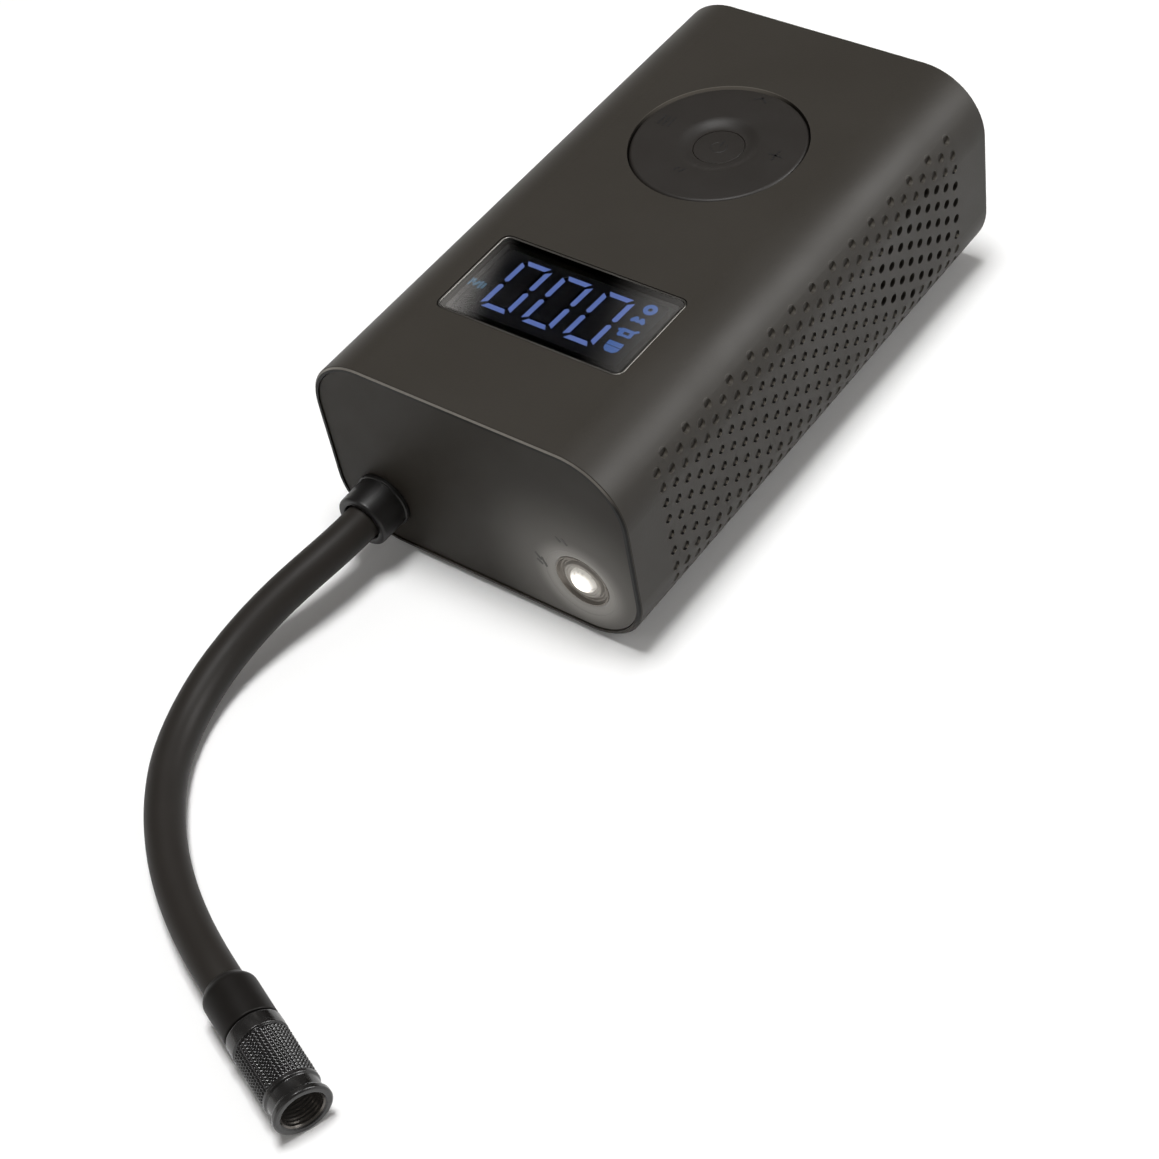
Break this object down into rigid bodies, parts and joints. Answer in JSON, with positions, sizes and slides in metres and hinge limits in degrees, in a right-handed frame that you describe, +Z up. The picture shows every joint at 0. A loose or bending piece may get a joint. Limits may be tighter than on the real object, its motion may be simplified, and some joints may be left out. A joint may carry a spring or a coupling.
{
  "type": "portable tire inflator",
  "caption": "Pocket-size cordless air pump with a display window, a control ring, a lamp and a short hose with a screw-on valve chuck.",
  "frame": {"origin": "middle of the body's footprint, on the surface that the four feet stand on", "axes": "+Y along the body towards its rear end, +Z up out of the control face, +X to the right seen from the front hose end looking to the rear"},
  "size_m": [0.0896, 0.2553, 0.0498],
  "materials": {
    "sleeve": "fine matte texture, warm dark grey",
    "end_plate": "matte, warm dark grey",
    "foot_rubber": "matte",
    "dark_screw": "black oxide",
    "bezel_metal": "bright cut edge",
    "window_glass": "polished smoke black",
    "display_black": "matte",
    "digit_light": "glowing blue",
    "key_plastic": "satin",
    "inner_plastic": "matte",
    "chassis_plastic": "matte",
    "reflector": "satin silver",
    "lamp_glow": "frosted, glowing",
    "circuit_board": "green solder mask",
    "switch_metal": "satin",
    "sensor_black": "matte",
    "clear_tube": "satin, milky",
    "port_metal": "satin nickel",
    "cell_sleeve": "blue shrink film",
    "nickel_strip": "bright",
    "motor_steel": "satin zinc",
    "magnet": "matte",
    "cap_plastic": "matte white",
    "copper_winding": "enamelled copper",
    "shaft_steel": "ground",
    "brass_part": "turned",
    "fan_plastic": "satin",
    "cast_alloy": "die cast",
    "gear_plastic": "natural nylon",
    "seal_rubber": "matte",
    "poppet_silicone": "matte red",
    "collar_rubber": "satin near-black",
    "hose_rubber": "satin",
    "chuck_metal": "black plated, satin"
  },
  "bodies": {
    "housing": {"shell": "sleeve", "front_plate": "end_plate", "rear_plate": "end_plate", "feet": "foot_rubber", "rear_screws": "dark_screw", "display_bezel": "bezel_metal", "display_window": "window_glass", "display_module": "display_black", "digit_lenses": "digit_light", "button_seat": "inner_plastic", "lamp_reflector": "reflector", "lamp_lens": "lamp_glow", "lamp_board": "circuit_board", "main_board": "circuit_board", "tact_switches": "switch_metal", "pressure_sensor": "sensor_black", "sensor_tube": "clear_tube", "usb_port": "port_metal", "chassis": "chassis_plastic", "cell_front": "cell_sleeve", "cell_rear": "cell_sleeve", "cell_tabs": "nickel_strip", "motor_can": "motor_steel", "motor_magnets": "magnet", "motor_end_cap": "cap_plastic", "motor_screws": "dark_screw", "compressor_frame": "cast_alloy", "frame_screws": "dark_screw", "crank_bush": "brass_part", "cylinder_liner": "shaft_steel", "head_gasket": "seal_rubber", "cylinder_head": "cast_alloy", "head_screws": "dark_screw", "valve_spring": "shaft_steel", "outlet_elbow": "brass_part", "air_tube": "clear_tube", "hose_collar": "collar_rubber", "hose": "hose_rubber", "hose_ferrule": "chuck_metal", "chuck_core": "brass_part", "chuck_gasket": "seal_rubber", "valve_pin": "brass_part"},
    "key": {"centre_button": "key_plastic"},
    "carrier": {"key_carrier": "inner_plastic"},
    "ring": {"control_ring": "key_plastic"},
    "rotor": {"armature": "copper_winding", "motor_shaft": "shaft_steel", "pinion_gear": "brass_part", "cooling_fan": "fan_plastic"},
    "crank": {"crank_gear": "gear_plastic", "crank_shaft": "shaft_steel", "crank_disc": "motor_steel"},
    "piston": {"piston": "cast_alloy", "piston_seal": "seal_rubber", "wrist_pin": "shaft_steel"},
    "rod": {"connecting_rod": "cast_alloy", "crank_pin": "shaft_steel"},
    "valve": {"outlet_poppet": "poppet_silicone"},
    "chuck": {"chuck_collar": "chuck_metal"}
  },
  "joints": [
    {"name": "button_press", "type": "slide", "parent": "housing", "child": "key", "axis": [0, 0, -1], "range_m": [0, 0.0005], "stiffness_N_per_m": 800},
    {"name": "carrier_rock", "type": "hinge", "parent": "housing", "child": "carrier", "pos_m": [0, 0.0244, 0.0444], "axis": [1, 0, 0], "range_deg": [-1.5, 1.5], "stiffness_Nm_per_rad": 0.6},
    {"name": "ring_rock", "type": "hinge", "parent": "carrier", "child": "ring", "pos_m": [0, 0.0244, 0.0444], "axis": [0, 1, 0], "range_deg": [-1.5, 1.5], "stiffness_Nm_per_rad": 0.6},
    {"name": "motor_spin", "type": "hinge", "parent": "housing", "child": "rotor", "pos_m": [0, 0.027, 0.0225], "axis": [1, 0, 0], "continuous": true},
    {"name": "crank_spin", "type": "hinge", "parent": "housing", "child": "crank", "pos_m": [0, 0.045, 0.0225], "axis": [1, 0, 0], "continuous": true},
    {"name": "piston_slide", "type": "slide", "parent": "housing", "child": "piston", "axis": [0, 1, 0], "range_m": [0, 0.014]},
    {"name": "rod_swing", "type": "hinge", "parent": "piston", "child": "rod", "pos_m": [-0.0215, 0.014, 0.0225], "axis": [1, 0, 0], "range_deg": [-17, 17]},
    {"name": "valve_lift", "type": "slide", "parent": "housing", "child": "valve", "axis": [0, 0, 1], "range_m": [0, 0.0008], "stiffness_N_per_m": 200, "deforming": ["valve_spring"]},
    {"name": "chuck_spin", "type": "hinge", "parent": "housing", "child": "chuck", "pos_m": [0.0198, -0.1715, 0.00575], "axis": [0.9272, -0.3746, 0], "continuous": true}
  ],
  "couplings": [
    {"joint": "crank_spin", "follows": "motor_spin", "ratio": -0.25}
  ]
}
